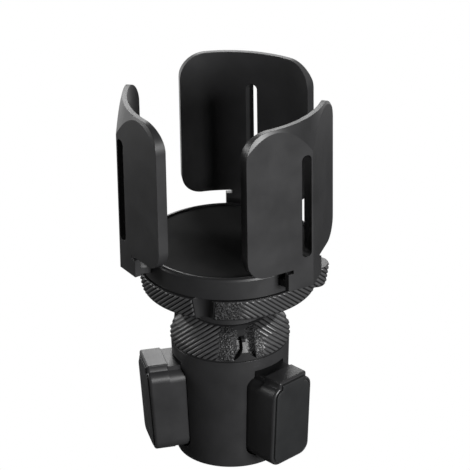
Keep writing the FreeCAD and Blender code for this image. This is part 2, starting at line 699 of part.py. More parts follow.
def keeper():
    disc = turned("keeper_disc", [
        ("0", KEEPER_LOW),
        ("tray_radius - tray_wall - mat_gap", KEEPER_LOW),
        ("tray_radius - tray_wall - mat_gap", f"{KEEPER_LOW} + keeper_thickness"),
        ("0", f"{KEEPER_LOW} + keeper_thickness"),
    ])
    top = keeper_low + size("keeper_thickness")
    holes = []
    for side in KEEPER_AZIMUTHS:
        seat = azimuth(side) * size("keeper_screw_circle") + UP * keeper_low
        holes.append(Part.makeCylinder(size("screw_radius") + size("pin_gap"), size("keeper_thickness"), seat))
        seat.z = top - size("keeper_head_height")
        holes.append(Part.makeCylinder(size("screw_head_radius") + size("pin_gap"),
                                       size("keeper_head_height"), seat))
    parts["keeper_plate"] = cut("keeper_plate", disc, made("keeper_holes", Part.makeCompound(holes)))
    screws = []
    for side in KEEPER_AZIMUTHS:
        seat = azimuth(side) * size("keeper_screw_circle") + UP * top
        screws.append(screw(size("screw_head_radius"), size("keeper_head_height"),
                            size("keeper_screw_length") - size("keeper_head_height"), seat, -UP))
    parts["keeper_screws"] = made("keeper_screws", Part.makeCompound(screws))
    parts["tray_mat"] = turned("tray_mat", [
        ("0", f"{KEEPER_LOW} + keeper_thickness"),
        ("tray_radius - tray_wall - mat_gap", f"{KEEPER_LOW} + keeper_thickness"),
        ("tray_radius - tray_wall - mat_gap", f"{KEEPER_LOW} + keeper_thickness + mat_thickness"),
        ("0", f"{KEEPER_LOW} + keeper_thickness + mat_thickness"),
    ])


def bearing(degrees):
    """Unit vector in plan, counted from +X towards +Y."""
    return Vector(math.cos(math.radians(degrees)), math.sin(math.radians(degrees)), 0)


def crossing(first, second):
    """The point in plan whose distances along two bearings are given as (degrees, distance)."""
    (a, p), (b, q) = first, second
    one, two = bearing(a), bearing(b)
    scale = one.x * two.y - one.y * two.x
    return Vector((p * two.y - q * one.y) / scale, (one.x * q - two.x * p) / scale, 0)


def wing_outline(length):
    """A wing from its crease at 0 to its rounded free edge; points are (along, height)."""
    top, low, foot_low = jaw_top, wing_low, slide_low
    rt, rl = size("wing_top_corner"), size("wing_low_corner")
    kt, kl = (radius * (1 - math.sqrt(0.5)) for radius in (rt, rl))
    relief, sill = size("relief_start"), low - size("relief_height")
    foot = relief + size("relief_width")
    return [
        ((0, foot_low), (0, top)),
        ((0, top), (length - rt, top)),
        ((length - rt, top), (length - kt, top - kt), (length, top - rt)),
        ((length, top - rt), (length, low + rl)),
        ((length, low + rl), (length - kl, low + kl), (length - rl, low)),
        ((length - rl, low), (relief, low)),
        ((relief, low), (relief, sill)),
        ((relief, sill), (foot, sill)),
        ((foot, sill), (foot, foot_low)),
        ((foot, foot_low), (0, foot_low)),
    ]


def window_outline():
    """A round-ended window beside a wing's crease."""
    left, right = size("window_start"), size("window_start") + size("window_width")
    half = size("window_width") / 2
    low, high = wing_low + size("window_lift") + half, jaw_top - size("window_drop") - half
    return [
        ((left, low), (left + half, low - half), (right, low)),
        ((right, low), (right, high)),
        ((right, high), (left + half, high + half), (left, high)),
        ((left, high), (left, low)),
    ]


def wing_prism(outline, crease, facing, side, depth):
    """Extrude an outline inwards from a wing's outer face; side is +1 or -1 along the wing."""
    outwards = bearing(facing)
    along = bearing(facing + 90) * side
    edges = []
    for piece in outline:
        points = [crease + along * u + UP * z for u, z in piece]
        edges.append(Part.LineSegment(*points) if len(points) == 2 else Part.Arc(*points))
    return Part.Face(Part.Wire([edge.toShape() for edge in edges])).extrude(outwards * -depth)


def jaw_shape(wings):
    """A jaw drawn along +X: two flat wings that meet at a crease, hollowed for the cup, and a slide.

    wings holds (facing, plane, length, side) for the window's wing and the other one.
    """
    inner, wall = size("jaw_inner_radius"), size("jaw_wall")
    crease = crossing(*[(facing, plane) for facing, plane, _, _ in wings])
    centre = crossing(*[(facing, plane - wall - inner) for facing, plane, _, _ in wings])
    shell = [wing_prism(wing_outline(length), crease, facing, side, size("wing_depth"))
             for facing, _, length, side in wings]
    facing, _, _, side = wings[0]
    window = wing_prism(window_outline(), crease, facing, side, size("wing_depth"))
    fall, wide = size("rim_bevel_fall"), inner + size("rim_width")
    bevel = Part.makeCylinder(2 * inner, fall, centre + UP * (jaw_top - fall)).cut(
        Part.makeCone(wide + size("rim_bevel_width"), wide, fall, centre + UP * (jaw_top - fall)))
    hollow = Part.makeCylinder(inner, jaw_top, centre)
    shape = shell[0].fuse(shell[1]).cut(hollow).cut(bevel).cut(window)
    reach = inner + centre.x
    slide = Part.makeBox(reach + wall / 2 - size("jaw_slide_inner"), size("jaw_slide_width"),
                         size("jaw_slide_thickness"),
                         Vector(size("jaw_slide_inner"), -size("jaw_slide_width") / 2, slide_low))
    seat = Part.makeCylinder(size("jaw_pin_radius"), size("jaw_slide_thickness"),
                             Vector(size("jaw_pin_place"), 0, slide_low))
    return shape.fuse(slide).cut(seat).removeSplitter()


def jaws():
    pin_low = ring_high - size("groove_depth") + size("groove_floor_gap")
    pin = Part.makeCylinder(size("jaw_pin_radius"), slide_low + size("jaw_slide_thickness") - pin_low,
                            Vector(size("jaw_pin_place"), 0, pin_low))
    even = (size("front_wing_turn") + size("rear_wing_turn")) / 2
    front = (size("front_wing_plane"), size("front_wing_length"))
    rear = (size("rear_wing_plane"), size("rear_wing_length"))
    middle = (size("rear_jaw_plane"), size("front_wing_length"))
    shapes = {
        "right": [(-size("front_wing_turn"), *front, -1), (size("rear_wing_turn"), *rear, 1)],
        "left": [(size("front_wing_turn"), *front, 1), (-size("rear_wing_turn"), *rear, -1)],
        "rear": [(-even, *middle, -1), (even, *middle, 1)],
    }
    for name, place in JAW_AZIMUTHS.items():
        parts[f"jaw_{name}"] = made(f"jaw_{name}", turn_to(jaw_shape(shapes[name]), place))
        parts[f"jaw_pin_{name}"] = made(f"jaw_pin_{name}", turn_to(pin, place))


def centre_bolt():
    low = size("cover_thickness") + size("seat_gap")
    head_low = tray_low + size("tray_floor") - size("bolt_head_height")
    shank = Part.makeCylinder(size("bolt_radius"), head_low - low, UP * low)
    head = Part.makeCylinder(size("bolt_head_radius"), size("bolt_head_height"), UP * head_low)
    across = size("bolt_head_radius") * 0.9
    corners = [Vector(across / math.sqrt(3) * math.cos(math.radians(60 * k)),
                      across / math.sqrt(3) * math.sin(math.radians(60 * k)),
                      head_low + size("bolt_head_height") / 2) for k in range(7)]
    socket = Part.Face(Part.makePolygon(corners)).extrude(UP * size("bolt_head_height"))
    parts["centre_bolt"] = made("centre_bolt", shank.fuse(head).cut(socket).removeSplitter())
    corners = [Vector(size("nut_across") / math.sqrt(3) * math.cos(math.radians(60 * k)),
                      size("nut_across") / math.sqrt(3) * math.sin(math.radians(60 * k)), low)
               for k in range(7)]
    nut = Part.Face(Part.makePolygon(corners)).extrude(UP * (size("nut_height") - size("seat_gap")))
    bore = Part.makeCylinder(size("bolt_radius") + size("nut_gap"), stem_height)
    parts["centre_nut"] = made("centre_nut", nut.cut(bore))


stem_body()
bottom_cover()
base_screws()
feet()
lower_dial()
neck()
upper_ring()
tray()
keeper()
jaws()
centre_bolt()
doc.recompute()

for thing in doc.Objects:
    if {"Invalid", "Error"} & set(thing.State):
        raise SystemExit(f"{thing.Name} did not build: {thing.State}")
for name, thing in parts.items():
    thing.Label = name
    if thing.Shape.isNull() or not thing.Shape.isValid() or not thing.Shape.Solids:
        raise SystemExit(f"{name} has no valid shape")

os.makedirs("parts", exist_ok=True)
for name, thing in parts.items():
    thing.Shape.exportStep(f"parts/{name}.step")
    box = thing.Shape.BoundBox
    print(name, len(thing.Shape.Solids), f"{box.XLength:.1f} x {box.YLength:.1f} x {box.ZLength:.1f}")
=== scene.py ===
# %% [markdown]
# This lesson dresses an expanding car cup holder. The solids come from the frame and
# keep their places. Here they get their plastics and rubbers, and the two grip rings
# get the twill ribs that fingers hold on to.

# %% Load the frame
import math
import bmesh
import bpy
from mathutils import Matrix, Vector


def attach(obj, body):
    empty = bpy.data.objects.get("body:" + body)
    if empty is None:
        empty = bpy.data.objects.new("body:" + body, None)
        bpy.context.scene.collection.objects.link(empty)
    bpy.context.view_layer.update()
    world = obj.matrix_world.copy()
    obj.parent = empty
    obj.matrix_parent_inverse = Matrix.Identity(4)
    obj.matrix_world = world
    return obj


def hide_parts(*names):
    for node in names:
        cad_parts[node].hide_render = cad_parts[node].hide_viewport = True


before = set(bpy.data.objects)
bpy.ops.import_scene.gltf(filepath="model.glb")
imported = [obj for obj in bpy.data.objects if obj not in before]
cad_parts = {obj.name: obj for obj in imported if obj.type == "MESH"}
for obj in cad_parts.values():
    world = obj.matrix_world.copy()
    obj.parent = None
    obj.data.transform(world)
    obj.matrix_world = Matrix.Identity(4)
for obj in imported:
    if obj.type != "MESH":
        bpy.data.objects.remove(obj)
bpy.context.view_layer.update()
MM = 0.001  # in metres, as the frame is


# %% [markdown]
# Colours are written as the hex values that a colour picker shows. Shaders work in
# linear light, so one function turns them round.

# %% Colour helper
def linear(hex_colour):
    """An sRGB hex colour as the linear RGBA that a shader socket takes."""
    channels = [int(hex_colour[k:k + 2], 16) / 255 for k in (1, 3, 5)]
    return [c / 12.92 if c <= 0.04045 else ((c + 0.055) / 1.055) ** 2.4 for c in channels] + [1.0]


# %% [markdown]
# A material is a small network of nodes. One helper adds a node, sets its sockets and
# links what feeds it, so that each finish below reads as a short list.

# %% Node helper
def node(tree, kind, settings=None, **inputs):
    """Add a node, set its properties, then fill or link its inputs by name, or by number as n0."""
    made = tree.nodes.new(kind)
    for key, value in (settings or {}).items():
        setattr(made, key, value)
    for key, value in inputs.items():
        numbered = key[0] == "n" and key[1:].isdigit()
        socket = made.inputs[int(key[1:]) if numbered else key.replace("_", " ")]
        if isinstance(value, bpy.types.NodeSocket):
            tree.links.new(value, socket)
        else:
            socket.default_value = value
    return made


def blank_material(name):
    """A material with only an output and a Principled shader."""
    material = bpy.data.materials.new(name)
    material.use_nodes = True
    tree = material.node_tree
    tree.nodes.clear()
    shader = node(tree, "ShaderNodeBsdfPrincipled")
    out = node(tree, "ShaderNodeOutputMaterial", Surface=shader.outputs["BSDF"])
    return material, tree, shader, out


def principled(material):
    """The Principled shader of a material."""
    return [item for item in material.node_tree.nodes if item.type == "BSDF_PRINCIPLED"][0]


# %% [markdown]
# Most of the part is injection-moulded ABS from a spark-eroded mould. The spark leaves
# a fine even grain that spreads highlights wide, and a slow waviness from uneven
# cooling. The grain is about half a millimetre, so a noise at that size drives the
# bump, and a coarser one shifts colour and roughness a little. Sharp edges are shaded
# as if rounded. The feet need none of that, because their caps have real rounds.

# %% Moulded ABS
FLOW_MM = 14
FLOW_LOW, FLOW_HIGH = 0.3, 0.7
TINT_SWING = 0.1
GLOSS_SWING = 0.04
GRAIN_STRENGTH = 0.5
ABS_IOR = 1.53


def moulded_abs(name, colour, roughness, grain_mm, grain_height_mm, edge_mm=0.35):
    """Spark-grained ABS of one colour, whose edges catch light over a small radius."""
    material, tree, shader, _ = blank_material(name)
    place = node(tree, "ShaderNodeTexCoord").outputs["Object"]
    grain = node(tree, "ShaderNodeTexNoise", Vector=place, Scale=1 / (grain_mm * MM), Detail=2.0)
    flow = node(tree, "ShaderNodeTexNoise", Vector=place, Scale=1 / (FLOW_MM * MM), Detail=3.0)
    tint = node(tree, "ShaderNodeMapRange", Value=flow.outputs["Fac"], From_Min=FLOW_LOW,
                From_Max=FLOW_HIGH, To_Min=1 - TINT_SWING, To_Max=1 + TINT_SWING)
    base = node(tree, "ShaderNodeHueSaturation", Value=tint.outputs["Result"], Color=linear(colour))
    tree.links.new(base.outputs["Color"], shader.inputs["Base Color"])
    gloss = node(tree, "ShaderNodeMapRange", Value=flow.outputs["Fac"], From_Min=FLOW_LOW,
                 From_Max=FLOW_HIGH, To_Min=roughness - GLOSS_SWING, To_Max=roughness + GLOSS_SWING)
    tree.links.new(gloss.outputs["Result"], shader.inputs["Roughness"])
    edge = node(tree, "ShaderNodeBevel", {"samples": 4}, Radius=edge_mm * MM)
    bump = node(tree, "ShaderNodeBump", Strength=GRAIN_STRENGTH, Distance=grain_height_mm * MM,
                Height=grain.outputs["Fac"], Normal=edge.outputs["Normal"])
    tree.links.new(bump.outputs["Normal"], shader.inputs["Normal"])
    shader.inputs["IOR"].default_value = ABS_IOR
    return material


stem_abs = moulded_abs("Moulded ABS stem", "#353536", 0.36, 0.5, 0.02)
jaw_abs = moulded_abs("Moulded ABS jaw", "#333334", 0.38, 0.45, 0.02)
tray_abs = moulded_abs("Moulded ABS tray", "#323233", 0.38, 0.5, 0.015)
foot_abs = moulded_abs("Moulded ABS foot", "#353536", 0.34, 0.5, 0.015, edge_mm=0.0)
ring_abs = moulded_abs("Moulded ABS grip", "#2B2B2C", 0.34, 0.4, 0.015)

# %% [markdown]
# The finger grips carry twill ribs. On each side of the front they fall away outwards,
# and in between the mould is etched with a coarse grit instead. The same small network
# works out the ribs twice: in Geometry Nodes it raises them, and in the shader it paints
# shade into the grooves and grit pits as a darker colour, makes them duller as dust would,
# and leaves the crests in the lighter tone, polished by fingers.

# %% Twill pattern
def azimuth(degrees):
    """Unit vector in plan, counted from -Y towards +X."""
    return Vector((math.sin(math.radians(degrees)), -math.cos(math.radians(degrees)), 0))


TWILL_FRONT = 11
TWILL_SLOPE = 0.62
TWILL_INWARD, TWILL_UP = 0.44, 0.9
TWILL_RISE = azimuth(TWILL_FRONT) * -TWILL_INWARD + Vector((0, 0, TWILL_UP))
GROOVE_END, CREST_START = 0.12, 0.28
GRIT_LOW, GRIT_HIGH = 0.42, 0.56
GRIT_FADE_DEGREES = 4
POLISHED, DUSTY = 0.32, 0.62


def sum_of(tree, operation, a, b=0.0):
    """The result of one math node."""
    return node(tree, "ShaderNodeMath", {"operation": operation}, n0=a, n1=b).outputs[0]


def dot(tree, place, direction):
    """How far a point lies along a direction."""
    product = node(tree, "ShaderNodeVectorMath", {"operation": "DOT_PRODUCT"}, n0=place,
                   n1=direction)
    return product.outputs["Value"]


def ramp(tree, value, start, end):
    """A smooth rise from 0 to 1 between two values."""
    return node(tree, "ShaderNodeMapRange", {"interpolation_type": "SMOOTHSTEP"}, Value=value,
                From_Min=start, From_Max=end, To_Min=0.0, To_Max=1.0).outputs[0]


def twill_tooth(tree, place, pitch):
    """0 in a groove and 1 on a crest of the ribs."""
    across = sum_of(tree, "ABSOLUTE", dot(tree, place, azimuth(TWILL_FRONT + 90)))
    length = sum_of(tree, "MULTIPLY_ADD", across, TWILL_SLOPE)
    tree.links.new(dot(tree, place, TWILL_RISE), length.node.inputs[2])
    wrapped = sum_of(tree, "PINGPONG", sum_of(tree, "DIVIDE", length, pitch), 0.5)
    return ramp(tree, wrapped, GROOVE_END, CREST_START)


def grit_mask(tree, place, middle, half):
    """1 where the rim is etched with grit, 0 where it is ribbed."""
    turn = sum_of(tree, "ARCTAN2", dot(tree, place, azimuth(middle + 90)),
                  dot(tree, place, azimuth(middle)))
    return ramp(tree, sum_of(tree, "ABSOLUTE", turn), math.radians(half + GRIT_FADE_DEGREES),
                math.radians(half - GRIT_FADE_DEGREES))


def grit(tree, place, scale):
    """Coarse etched grain from 0 to 1."""
    raw = node(tree, "ShaderNodeTexNoise", Vector=place, Scale=scale, Detail=1.0).outputs[0]
    return ramp(tree, raw, GRIT_LOW, GRIT_HIGH)


def twill_abs(name, groove, crest, pitch, middle, half, grit_size):
    """Moulded ABS with painted shade in its grooves and grit pits, and polished crests."""
    material = moulded_abs(name, crest, 0.34, 0.3, 0.01)
    tree, shader = material.node_tree, principled(material)
    place = node(tree, "ShaderNodeTexCoord").outputs["Object"]
    mask = grit_mask(tree, place, middle, half)
    high = node(tree, "ShaderNodeMix", {"data_type": "FLOAT"}, Factor=mask,
                n2=twill_tooth(tree, place, pitch), n3=grit(tree, place, 1 / grit_size)).outputs[0]
    # Painted shade: the colour runs from the crest tone down to the darker groove colour where the
    # ribs dip and in the grit's pits.
    colour = node(tree, "ShaderNodeMix", {"data_type": "RGBA"}, Factor=high, n6=linear(groove),
                  n7=linear(crest))
    tree.links.new(colour.outputs[2], shader.inputs["Base Color"])
    gloss = node(tree, "ShaderNodeMapRange", Value=high, To_Min=DUSTY, To_Max=POLISHED)
    tree.links.new(gloss.outputs["Result"], shader.inputs["Roughness"])
    return material


# The groove colour is painted shade. The crest colour is the grip's own tone.
GROOVE_SHADE, CREST_TONE = "#0A0A0B", "#535354"
GRIPS = {
    "lower_dial": {"pitch": 2.5 * MM, "middle": 25, "half": 24, "grit": 0.6 * MM,
                   "height": 0.5 * MM},
    "upper_ring": {"pitch": 2.4 * MM, "middle": 8, "half": 14, "grit": 0.6 * MM,
                   "height": 0.55 * MM},
}
for body, grip in GRIPS.items():
    grip["finish"] = twill_abs("Moulded ABS twill " + body, GROOVE_SHADE, CREST_TONE, grip["pitch"],
                               grip["middle"], grip["half"], grip["grit"])

# %% [markdown]
# The pads and the mat are moulded rubber. Rubber scatters light more evenly than ABS
# and shows a soft sheen at a grazing angle.

# %% Moulded rubber
def moulded_rubber(name, colour, roughness):
    """Soft black rubber with a faint sheen."""
    material = moulded_abs(name, colour, roughness, 0.7, 0.02)
    shader = principled(material)
    shader.inputs["Sheen Weight"].default_value = 0.15
    shader.inputs["Sheen Roughness"].default_value = 0.4
    shader.inputs["IOR"].default_value = 1.5
    return material


pad_rubber = moulded_rubber("Moulded nitrile rubber", "#28292A", 0.46)
mat_rubber = moulded_rubber("Moulded silicone mat", "#121213", 0.75)
principled(mat_rubber).inputs["Specular IOR Level"].default_value = 0.15

# %% [markdown]
# The pins and screws are steel. Only the screw heads under the stem can be seen.

# %% Zinc-plated steel
MARK_MM = 0.4
MARK_SWING = 0.08


def plated_steel(name, colour, roughness):
    """Bright steel with fine turning marks."""
    material, tree, shader, _ = blank_material(name)
    place = node(tree, "ShaderNodeTexCoord").outputs["Object"]
    marks = node(tree, "ShaderNodeTexNoise", Vector=place, Scale=1 / (MARK_MM * MM), Detail=2.0)
    gloss = node(tree, "ShaderNodeMapRange", Value=marks.outputs["Fac"],
                 To_Min=roughness - MARK_SWING, To_Max=roughness + MARK_SWING)
    tree.links.new(gloss.outputs["Result"], shader.inputs["Roughness"])
    shader.inputs["Base Color"].default_value = linear(colour)
    shader.inputs["Metallic"].default_value = 1.0
    return material


screw_steel = plated_steel("Zinc-plated steel", "#B9BBBE", 0.35)

# %% [markdown]
# Each solid of the frame keeps its mesh and takes one of these finishes.

# %% Give every solid its finish
FINISHES = {
    "stem_body": stem_abs, "bottom_cover": stem_abs, "neck": stem_abs,
    "lower_dial": ring_abs, "upper_ring": ring_abs,
    "tray": tray_abs, "keeper_plate": tray_abs, "tray_mat": mat_rubber,
    "jaw_right": jaw_abs, "jaw_left": jaw_abs, "jaw_rear": jaw_abs,
    "foot_1": foot_abs, "foot_2": foot_abs, "foot_3": foot_abs,
    "foot_pad_1": pad_rubber, "foot_pad_2": pad_rubber, "foot_pad_3": pad_rubber,
}
for name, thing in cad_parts.items():
    finish = FINISHES.get(name, screw_steel)
    thing.data.materials.clear()
    thing.data.materials.append(finish)
print("dressed", len(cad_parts), "solids")

# %% [markdown]
# Fingers turn the dial and the ring by their twill ribs. A skin lies a hair above each
# rim and carries the ribs. It is a grid whose rows follow the rim's profile, and its
# columns run from one finger notch to the next. Heights and radii are in millimetres.
# A profile is a list of (radius, height). A notch has an azimuth and a half width at
# the foot and the top of the rim. The lug has an azimuth, a distance from the axis, a
# radius below and above, and a top. The spike in a notch is a list of (height, half
# width).

# %% Rim profiles
GRID_MM = 0.4
LIFT_MM = 0.05
SINK_MM = 0.25
FLANK_STEPS = 10
FADE_CELLS = 2
DIAL = {
    "profile": [(31.3, 64.7), (31.1, 69.3), (28.8, 74.4), (25.4, 78.1), (20.6, 79.8)],
    "notches": (28, 148, 268), "half": (6.25, 6.25),
    "lug": (-102, 26.5, 6.0, 6.0, 78.1),
    "spike": [(0.0, 6.0), (3.5, 2.3), (10.5, 1.2), (16.0, 1.2)], "spike_low": 65.35, "depth": 3.1,
}
RING = {
    "profile": [(45.45, 96.8), (47.2, 108.0)],
    "notches": (-3, 117, 237), "half": (4.9, 6.3),
    "lug": (98, 44.8, 5.6, 7.4, 109.0), "spike": None, "spike_low": 0.0, "depth": 0.0,
}


def between(points, value):
    """The second number of a list of pairs, read at a value of the first."""
    for (a, p), (b, q) in zip(points, points[1:]):
        if value <= b:
            return p + (q - p) * max(0.0, (value - a) / (b - a))
    return points[-1][1]


def rows_of(profile, step):
    """Points along a profile at an even spacing, as (radius, height)."""
    rows = []
    for (r0, z0), (r1, z1) in zip(profile, profile[1:]):
        count = max(1, round(math.hypot(r1 - r0, z1 - z0) / step))
        rows += [(r0 + (r1 - r0) * k / count, z0 + (z1 - z0) * k / count) for k in range(count)]
    return rows + [profile[-1]]


def lug_reach(rim, degrees, z):
    """How far out the thumb lug stands at an angle and height, or 0 beside it."""
    place, distance, low_radius, high_radius, top = rim["lug"]
    if z > top:
        return 0.0
    zs = [row[1] for row in rim["profile"]]
    radius = low_radius + (high_radius - low_radius) * (z - zs[0]) / (zs[-1] - zs[0])
    turn = math.radians((degrees - place + 180) % 360 - 180)
    across = distance * math.sin(turn)
    if abs(turn) > math.pi / 2 or abs(across) > radius:
        return 0.0
    return distance * math.cos(turn) + math.sqrt(radius ** 2 - across ** 2)


print("rows", [len(rows_of(rim["profile"], GRID_MM)) for rim in (DIAL, RING)])

# %% [markdown]
# One sector of skin lies between two notches. Beside the dial's notches it carries on
# down the hollow flanks, as far as the smooth spike in the middle. Each point keeps one
# number, how much relief it takes, so that the ribs fade out at the borders.

# %% Skin of one rim
def skin_mesh(name, rim):
    """Grid skin over a rim."""
    mesh = bpy.data.meshes.new(name)
    rows = rows_of(rim["profile"], GRID_MM)
    lows, highs = rows[0][1], rows[-1][1]
    points, relief, faces = [], [], []
    flank_steps = FLANK_STEPS if rim["spike"] else 0
    for k, first in enumerate(rim["notches"]):
        second = rim["notches"][(k + 1) % 3] + (360 if k == 2 else 0)
        columns = round(math.radians(second - first) * rim["profile"][0][0] / GRID_MM)
        base, width = len(points), columns + 1 + 2 * flank_steps
        for i, (radius, z) in enumerate(rows):
            half = rim["half"][0] + (rim["half"][1] - rim["half"][0]) * (z - lows) / (highs - lows)
            edge = math.degrees(math.asin(half / radius))
            border = min(1.0, min(i, len(rows) - 1 - i) / FADE_CELLS)
            for j in range(-flank_steps, columns + 1 + flank_steps):
                inside = min(max(j, 0), columns)
                degrees = first + edge + (second - first - 2 * edge) * inside / columns
                reach = max(radius, lug_reach(rim, degrees, z))
                lift = LIFT_MM if border else -SINK_MM
                fade = border
                if 0 <= j <= columns:
                    place = azimuth(degrees) * (reach + lift)
                    if not flank_steps:
                        fade *= min(1.0, min(j, columns - j) / FADE_CELLS)
                        place = azimuth(degrees) * (reach + (lift if 0 < j < columns else -SINK_MM))
                else:
                    notch, side = (first, 1) if j < 0 else (second, -1)
                    u = (-j if j < 0 else j - columns) / flank_steps
                    inner = between(rim["spike"], z - rim["spike_low"])
                    across = half + (min(inner, half) - half) * u
                    chord = math.sqrt(radius ** 2 - half ** 2)
                    out = chord - rim["depth"] * math.sin(u * math.pi / 2) + lift
                    place = azimuth(notch) * out + azimuth(notch + 90) * (side * across)
                points.append((place.x * MM, place.y * MM, z * MM))
                relief.append(fade)
        for i in range(len(rows) - 1):
            for j in range(width - 1):
                a = base + i * width + j
                faces.append((a, a + 1, a + width + 1, a + width))
    mesh.from_pydata(points, [], faces)
    mesh.attributes.new("relief", "FLOAT", "POINT").data.foreach_set("value", relief)
    mesh.polygons.foreach_set("use_smooth", [True] * len(mesh.polygons))
    return mesh


skins = {"lower_dial": skin_mesh("dial_twill", DIAL), "upper_ring": skin_mesh("ring_twill", RING)}
print("skin faces", [len(skin.polygons) for skin in skins.values()])

# %% [markdown]
# The ribs themselves are Geometry Nodes. The tree reads the twill pattern at each point
# and pushes the point out along its normal.

# %% Twill relief tree
def relief_tree():
    """Node group that raises twill ribs and grit on a skin."""
    tree = bpy.data.node_groups.new("twill_relief", "GeometryNodeTree")
    face = tree.interface
    face.new_socket("Skin", in_out="INPUT", socket_type="NodeSocketGeometry")
    for label in ("Pitch", "Height", "Grit Size", "Grit Middle", "Grit Half"):
        face.new_socket(label, in_out="INPUT", socket_type="NodeSocketFloat")
    face.new_socket("Finish", in_out="INPUT", socket_type="NodeSocketMaterial")
    face.new_socket("Twill", in_out="OUTPUT", socket_type="NodeSocketGeometry")
    given = node(tree, "NodeGroupInput").outputs
    place = node(tree, "GeometryNodeInputPosition").outputs[0]
    bearing = sum_of(tree, "ARCTAN2", dot(tree, place, azimuth(90)), dot(tree, place, azimuth(0)))
    turn = sum_of(tree, "SUBTRACT", bearing, given["Grit Middle"])
    mask = ramp(tree, sum_of(tree, "SUBTRACT", given["Grit Half"], sum_of(tree, "ABSOLUTE", turn)),
                math.radians(-GRIT_FADE_DEGREES), math.radians(GRIT_FADE_DEGREES))
    scale = sum_of(tree, "DIVIDE", 1.0, given["Grit Size"])
    high = node(tree, "ShaderNodeMix", {"data_type": "FLOAT"}, Factor=mask,
                n2=twill_tooth(tree, place, given["Pitch"]), n3=grit(tree, place, scale)).outputs[0]
    stored = node(tree, "GeometryNodeInputNamedAttribute", {"data_type": "FLOAT"},
                  Name="relief").outputs[0]
    push = sum_of(tree, "MULTIPLY", sum_of(tree, "MULTIPLY", high, given["Height"]), stored)
    normal = node(tree, "GeometryNodeInputNormal").outputs[0]
    offset = node(tree, "ShaderNodeVectorMath", {"operation": "SCALE"}, n0=normal,
                  Scale=push).outputs[0]
    raised = node(tree, "GeometryNodeSetPosition", Geometry=given["Skin"], Offset=offset).outputs[0]
    whole = node(tree, "GeometryNodeRealizeInstances", Geometry=raised).outputs[0]
    done = node(tree, "GeometryNodeSetMaterial", Geometry=whole,
                Material=given["Finish"]).outputs[0]
    node(tree, "NodeGroupOutput", n0=done)
    return tree


def settle(thing):
    """Keep what the modifiers make as a plain mesh."""
    bpy.context.view_layer.update()
    ready = thing.evaluated_get(bpy.context.evaluated_depsgraph_get())
    result = bpy.data.meshes.new_from_object(ready)
    thing.modifiers.clear()
    thing.data = result
    return thing


def bake(name, mesh, tree, values):
    """Run a node tree on a mesh with named inputs and keep the plain result."""
    thing = bpy.data.objects.new(name, mesh)
    bpy.context.scene.collection.objects.link(thing)
    modifier = thing.modifiers.new("nodes", "NODES")
    modifier.node_group = tree
    for item in tree.interface.items_tree:
        if item.in_out == "INPUT" and item.name in values:
            modifier[item.identifier] = values[item.name]
    return settle(thing)


TWILL = relief_tree()
for body, skin in skins.items():
    grip = GRIPS[body]
    values = {"Pitch": grip["pitch"], "Height": grip["height"], "Grit Size": grip["grit"],
              "Grit Middle": math.radians(grip["middle"]), "Grit Half": math.radians(grip["half"]),
              "Finish": grip["finish"]}
    twill = bake(body + "_twill", skin, TWILL, values)
    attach(twill, body)
    print(twill.name, len(twill.data.polygons), "faces")

# %% [markdown]
# Each foot ends in a cap with a rubber pad let into its face. The cap's outline rises to
# a low crest at the top, its front leans out, and its rim is rounded. Only the cap is
# new. The foot's body behind it is cut from the frame's own solid.

# %% Outline of a cap
FOOT_AZIMUTHS = {1: -63, 2: 57, 3: 177}
CAP = {"back": 35.0, "middle": 29.75, "lean": 0.06}
CORNER = {"across": 7.5, "low": 12.0, "high": 47.5, "radius": 6.5}
CREST = {"half": 10.0, "top": 56.95, "radius": 0.6}
ARC_STEPS = 7


def cap_outline(inset):
    """The cap's outline drawn some way inside its edge, as points (across, height)."""
    radius, half, top = CORNER["radius"] - inset, CREST["half"] - inset, CREST["top"] - inset
    shares = [k / ARC_STEPS for k in range(ARC_STEPS + 1)]
    last = math.acos(max(0.0, (half - CORNER["across"]) / radius))
    right = []
    for turn in [share * math.pi / 2 for share in shares]:
        right.append((CORNER["across"] + radius * math.sin(turn),
                      CORNER["low"] - radius * math.cos(turn)))
    for turn in [share * last for share in shares]:
        right.append((CORNER["across"] + radius * math.cos(turn),
                      CORNER["high"] + radius * math.sin(turn)))
    for turn in [share * math.pi / 2 for share in shares]:
        right.append((half - CREST["radius"] * (1 - math.cos(turn)),
                      top - CREST["radius"] * (1 - math.sin(turn))))
    return [Vector(point) for point in right + [(-x, z) for x, z in reversed(right)]]


print("cap outline points", len(cap_outline(0)))

# %% [markdown]
# A cap or a pad is a stack of rings. Each ring is the outline at some inset and some
# depth along the foot. The last ring closes onto a shallow dome or a flat floor, in
# steps of (size of the outline, share of the dome's height). The first ring of a cap
# is hidden in the foot's body, so that no gap shows where the two meet.

# %% Caps and pads
DOME_STEPS = [(0.9, 0.35), (0.7, 0.75), (0.4, 0.95), (0.1, 1.0)]
DOME_CENTRE_MM = CAP["middle"] + 1
PAD_DOME_MM = 0.45
SHARP_DEGREES = 35
CAP_RINGS = [(0.9, 34.6), (0.3, 34.98), (0.3, 35.3), (0.3, 44.5), (0.3, 44.8), (0.45, 45.4),
             (0.82, 45.84), (1.3, 46.0), (1.85, 46.0), (1.95, 44.1)]
PAD_RINGS = [(2.25, 44.15), (2.25, 46.15), (2.4, 46.45), (2.9, 46.65)]
CREST_MM, LOWERED_CREST_MM = 57.0, 55.3
OVERLAP_MM = 0.02


